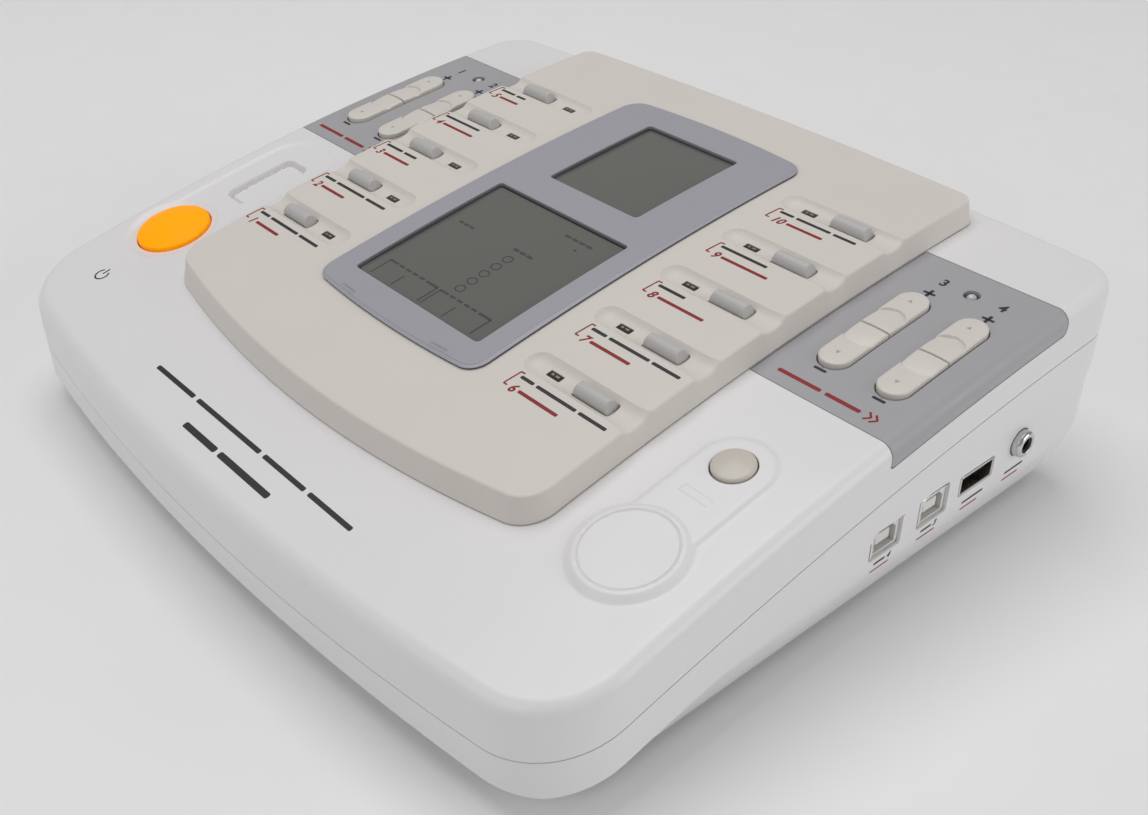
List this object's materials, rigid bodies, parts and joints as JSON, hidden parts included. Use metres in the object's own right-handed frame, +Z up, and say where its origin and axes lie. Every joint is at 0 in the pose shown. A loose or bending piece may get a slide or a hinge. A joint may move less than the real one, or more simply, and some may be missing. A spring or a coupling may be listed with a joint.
{
  "type": "ultrasound therapy device",
  "caption": "Desktop physiotherapy console: wedge-shaped white case, raised key console with two displays, strength keys, power button and side sockets for probe and electrode leads.",
  "frame": {"origin": "middle of the whole outline at the level of the feet's undersides, where the unit stands on the table", "axes": "+X to the user's right, +Y from the low front edge to the high rear edge, +Z up"},
  "size_m": [0.264, 0.2234, 0.0771],
  "materials": {
    "white_shell": "glossy moulded white plastic",
    "console_beige": "satin painted beige plastic",
    "panel_grey": "satin grey plastic",
    "frame_grey": "satin blue-grey plastic",
    "lcd_glass": "dark grey-green display window, clear coated",
    "mode_key": "satin light grey plastic",
    "strength_key": "satin warm white plastic",
    "power_orange": "glossy orange plastic",
    "start_beige": "glossy beige plastic",
    "smoked_plastic": "smoked, nearly black light guide",
    "led_lens": "clear water-white lens",
    "socket_metal": "nickel-plated steel shell",
    "socket_black": "matte black plastic",
    "board_green": "green circuit board with parts",
    "rubber": "matte black rubber",
    "screw_steel": "zinc-plated steel"
  },
  "bodies": {
    "case": {"bottom_case": "white_shell", "buzzer": "socket_black", "centre_console": "console_beige", "display_board": "board_green", "display_frame": "frame_grey", "front_left_case_screw": "screw_steel", "front_left_foot": "rubber", "front_right_case_screw": "screw_steel", "front_right_foot": "rubber", "lead_jack": "socket_metal", "left_channel_led": "led_lens", "left_key_board": "board_green", "left_light_guide": "smoked_plastic", "left_output_panel": "panel_grey", "main_board": "board_green", "main_lcd": "lcd_glass", "output_socket_1": "socket_metal", "output_socket_2": "socket_metal", "output_socket_3": "socket_metal", "output_socket_4": "socket_metal", "power_inlet": "socket_black", "power_switch": "socket_black", "probe_socket": "socket_metal", "rear_left_case_screw": "screw_steel", "rear_left_foot": "rubber", "rear_right_case_screw": "screw_steel", "rear_right_foot": "rubber", "right_channel_led": "led_lens", "right_key_board": "board_green", "right_light_guide": "smoked_plastic", "right_output_panel": "panel_grey", "small_lcd": "lcd_glass", "top_cover": "white_shell"},
    "left_mode_key_1": {"left_mode_key_1": "mode_key"},
    "left_mode_key_2": {"left_mode_key_2": "mode_key"},
    "left_mode_key_3": {"left_mode_key_3": "mode_key"},
    "left_mode_key_4": {"left_mode_key_4": "mode_key"},
    "left_mode_key_5": {"left_mode_key_5": "mode_key"},
    "right_mode_key_1": {"right_mode_key_1": "mode_key"},
    "right_mode_key_2": {"right_mode_key_2": "mode_key"},
    "right_mode_key_3": {"right_mode_key_3": "mode_key"},
    "right_mode_key_4": {"right_mode_key_4": "mode_key"},
    "right_mode_key_5": {"right_mode_key_5": "mode_key"},
    "out1_plus_key": {"out1_plus_key": "strength_key"},
    "out1_minus_key": {"out1_minus_key": "strength_key"},
    "out2_plus_key": {"out2_plus_key": "strength_key"},
    "out2_minus_key": {"out2_minus_key": "strength_key"},
    "out3_plus_key": {"out3_plus_key": "strength_key"},
    "out3_minus_key": {"out3_minus_key": "strength_key"},
    "out4_plus_key": {"out4_plus_key": "strength_key"},
    "out4_minus_key": {"out4_minus_key": "strength_key"},
    "power_button": {"power_button": "power_orange"},
    "start_button": {"start_button": "start_beige"}
  },
  "joints": [
    {"name": "left_mode_key_1_press", "type": "slide", "parent": "case", "child": "left_mode_key_1", "axis": [0, 0.1922, -0.9814], "range_m": [0, 0.0008], "stiffness_N_per_m": 300},
    {"name": "left_mode_key_2_press", "type": "slide", "parent": "case", "child": "left_mode_key_2", "axis": [0, 0.1683, -0.9857], "range_m": [0, 0.0008], "stiffness_N_per_m": 300},
    {"name": "left_mode_key_3_press", "type": "slide", "parent": "case", "child": "left_mode_key_3", "axis": [0, 0.144, -0.9896], "range_m": [0, 0.0008], "stiffness_N_per_m": 300},
    {"name": "left_mode_key_4_press", "type": "slide", "parent": "case", "child": "left_mode_key_4", "axis": [0, 0.1196, -0.9928], "range_m": [0, 0.0008], "stiffness_N_per_m": 300},
    {"name": "left_mode_key_5_press", "type": "slide", "parent": "case", "child": "left_mode_key_5", "axis": [0, 0.0948, -0.9955], "range_m": [0, 0.0008], "stiffness_N_per_m": 300},
    {"name": "right_mode_key_1_press", "type": "slide", "parent": "case", "child": "right_mode_key_1", "axis": [0, 0.1922, -0.9814], "range_m": [0, 0.0008], "stiffness_N_per_m": 300},
    {"name": "right_mode_key_2_press", "type": "slide", "parent": "case", "child": "right_mode_key_2", "axis": [0, 0.1683, -0.9857], "range_m": [0, 0.0008], "stiffness_N_per_m": 300},
    {"name": "right_mode_key_3_press", "type": "slide", "parent": "case", "child": "right_mode_key_3", "axis": [0, 0.144, -0.9896], "range_m": [0, 0.0008], "stiffness_N_per_m": 300},
    {"name": "right_mode_key_4_press", "type": "slide", "parent": "case", "child": "right_mode_key_4", "axis": [0, 0.1196, -0.9928], "range_m": [0, 0.0008], "stiffness_N_per_m": 300},
    {"name": "right_mode_key_5_press", "type": "slide", "parent": "case", "child": "right_mode_key_5", "axis": [0, 0.0948, -0.9955], "range_m": [0, 0.0008], "stiffness_N_per_m": 300},
    {"name": "out1_plus_press", "type": "slide", "parent": "case", "child": "out1_plus_key", "axis": [0, 0.121, -0.9927], "range_m": [0, 0.0008], "stiffness_N_per_m": 400},
    {"name": "out1_minus_press", "type": "slide", "parent": "case", "child": "out1_minus_key", "axis": [0, 0.121, -0.9927], "range_m": [0, 0.0008], "stiffness_N_per_m": 400},
    {"name": "out2_plus_press", "type": "slide", "parent": "case", "child": "out2_plus_key", "axis": [0, 0.121, -0.9927], "range_m": [0, 0.0008], "stiffness_N_per_m": 400},
    {"name": "out2_minus_press", "type": "slide", "parent": "case", "child": "out2_minus_key", "axis": [0, 0.121, -0.9927], "range_m": [0, 0.0008], "stiffness_N_per_m": 400},
    {"name": "out3_plus_press", "type": "slide", "parent": "case", "child": "out3_plus_key", "axis": [0, 0.121, -0.9927], "range_m": [0, 0.0008], "stiffness_N_per_m": 400},
    {"name": "out3_minus_press", "type": "slide", "parent": "case", "child": "out3_minus_key", "axis": [0, 0.121, -0.9927], "range_m": [0, 0.0008], "stiffness_N_per_m": 400},
    {"name": "out4_plus_press", "type": "slide", "parent": "case", "child": "out4_plus_key", "axis": [0, 0.121, -0.9927], "range_m": [0, 0.0008], "stiffness_N_per_m": 400},
    {"name": "out4_minus_press", "type": "slide", "parent": "case", "child": "out4_minus_key", "axis": [0, 0.121, -0.9927], "range_m": [0, 0.0008], "stiffness_N_per_m": 400},
    {"name": "power_press", "type": "slide", "parent": "case", "child": "power_button", "axis": [0, 0.2147, -0.9767], "range_m": [0, 0.003], "stiffness_N_per_m": 800},
    {"name": "start_press", "type": "slide", "parent": "case", "child": "start_button", "axis": [0, 0.1829, -0.9831], "range_m": [0, 0.0012], "stiffness_N_per_m": 500}
  ]
}
